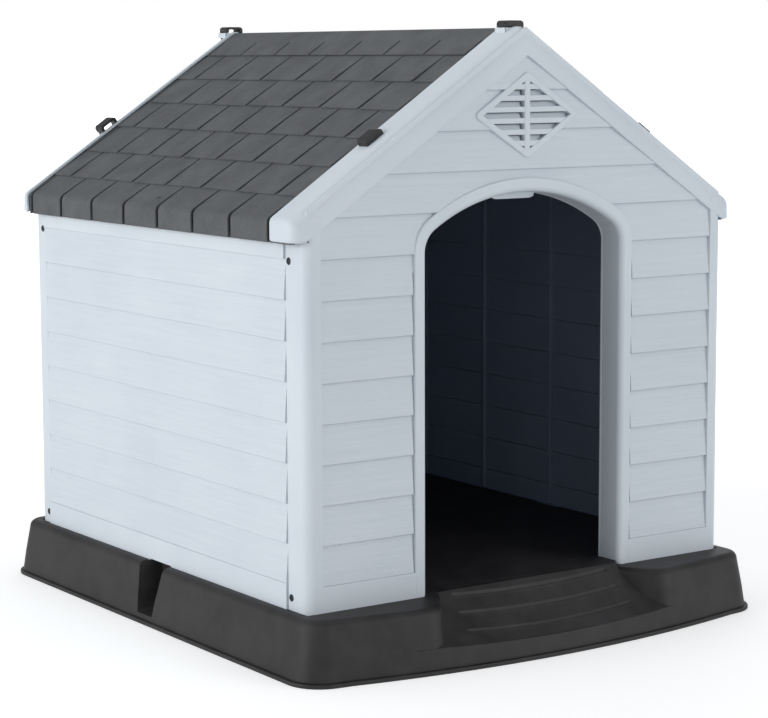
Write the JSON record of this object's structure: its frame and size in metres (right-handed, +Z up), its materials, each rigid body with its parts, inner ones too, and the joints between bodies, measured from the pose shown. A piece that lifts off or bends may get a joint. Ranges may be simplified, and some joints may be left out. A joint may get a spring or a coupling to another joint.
{
  "type": "dog house",
  "caption": "Kit dog house of moulded plastic panels on a tray base, with an arched doorway, lap-siding walls, a shingled gable roof and pull-out roof clips.",
  "frame": {"origin": "on the floor, at the middle of the footprint's bounding box", "axes": "+X to the house's right as seen from the front, +Y from the doorway to the back, +Z up; the doorway faces -Y"},
  "size_m": [0.66, 0.7659, 0.7168],
  "materials": {
    "wall_plastic": "light blue-grey moulded polypropylene with a fine embossed wood grain",
    "tray_plastic": "charcoal moulded polypropylene with a mottled matte texture",
    "roof_plastic": "dark grey moulded polypropylene with a stippled shingle relief",
    "clip_plastic": "black moulded nylon",
    "screw_steel": "black coated steel"
  },
  "bodies": {
    "house": {"back_panel": "wall_plastic", "base_tray": "tray_plastic", "front_panel": "wall_plastic", "left_roof_panel": "roof_plastic", "left_side_panel": "wall_plastic", "right_roof_panel": "roof_plastic", "right_side_panel": "wall_plastic", "roof_screw_left": "screw_steel", "roof_screw_right": "screw_steel", "screw_back_left_lower": "screw_steel", "screw_back_left_upper": "screw_steel", "screw_back_right_lower": "screw_steel", "screw_back_right_upper": "screw_steel", "screw_front_left_lower": "screw_steel", "screw_front_left_upper": "screw_steel", "screw_front_right_lower": "screw_steel", "screw_front_right_upper": "screw_steel"},
    "clip_back_left_body": {"clip_back_left": "clip_plastic"},
    "clip_back_peak_body": {"clip_back_peak": "clip_plastic"},
    "clip_back_right_body": {"clip_back_right": "clip_plastic"},
    "clip_front_left_body": {"clip_front_left": "clip_plastic"},
    "clip_front_peak_body": {"clip_front_peak": "clip_plastic"},
    "clip_front_right_body": {"clip_front_right": "clip_plastic"}
  },
  "joints": [
    {"name": "clip_back_left_pull", "type": "slide", "parent": "house", "child": "clip_back_left_body", "axis": [-0.5518, 0, 0.834], "range_m": [0, 0.03]},
    {"name": "clip_back_peak_pull", "type": "slide", "parent": "house", "child": "clip_back_peak_body", "axis": [0, 0, 1], "range_m": [0, 0.03]},
    {"name": "clip_back_right_pull", "type": "slide", "parent": "house", "child": "clip_back_right_body", "axis": [0.5518, 0, 0.834], "range_m": [0, 0.03]},
    {"name": "clip_front_left_pull", "type": "slide", "parent": "house", "child": "clip_front_left_body", "axis": [-0.5518, 0, 0.834], "range_m": [0, 0.03]},
    {"name": "clip_front_peak_pull", "type": "slide", "parent": "house", "child": "clip_front_peak_body", "axis": [0, 0, 1], "range_m": [0, 0.03]},
    {"name": "clip_front_right_pull", "type": "slide", "parent": "house", "child": "clip_front_right_body", "axis": [0.5518, 0, 0.834], "range_m": [0, 0.03]}
  ]
}
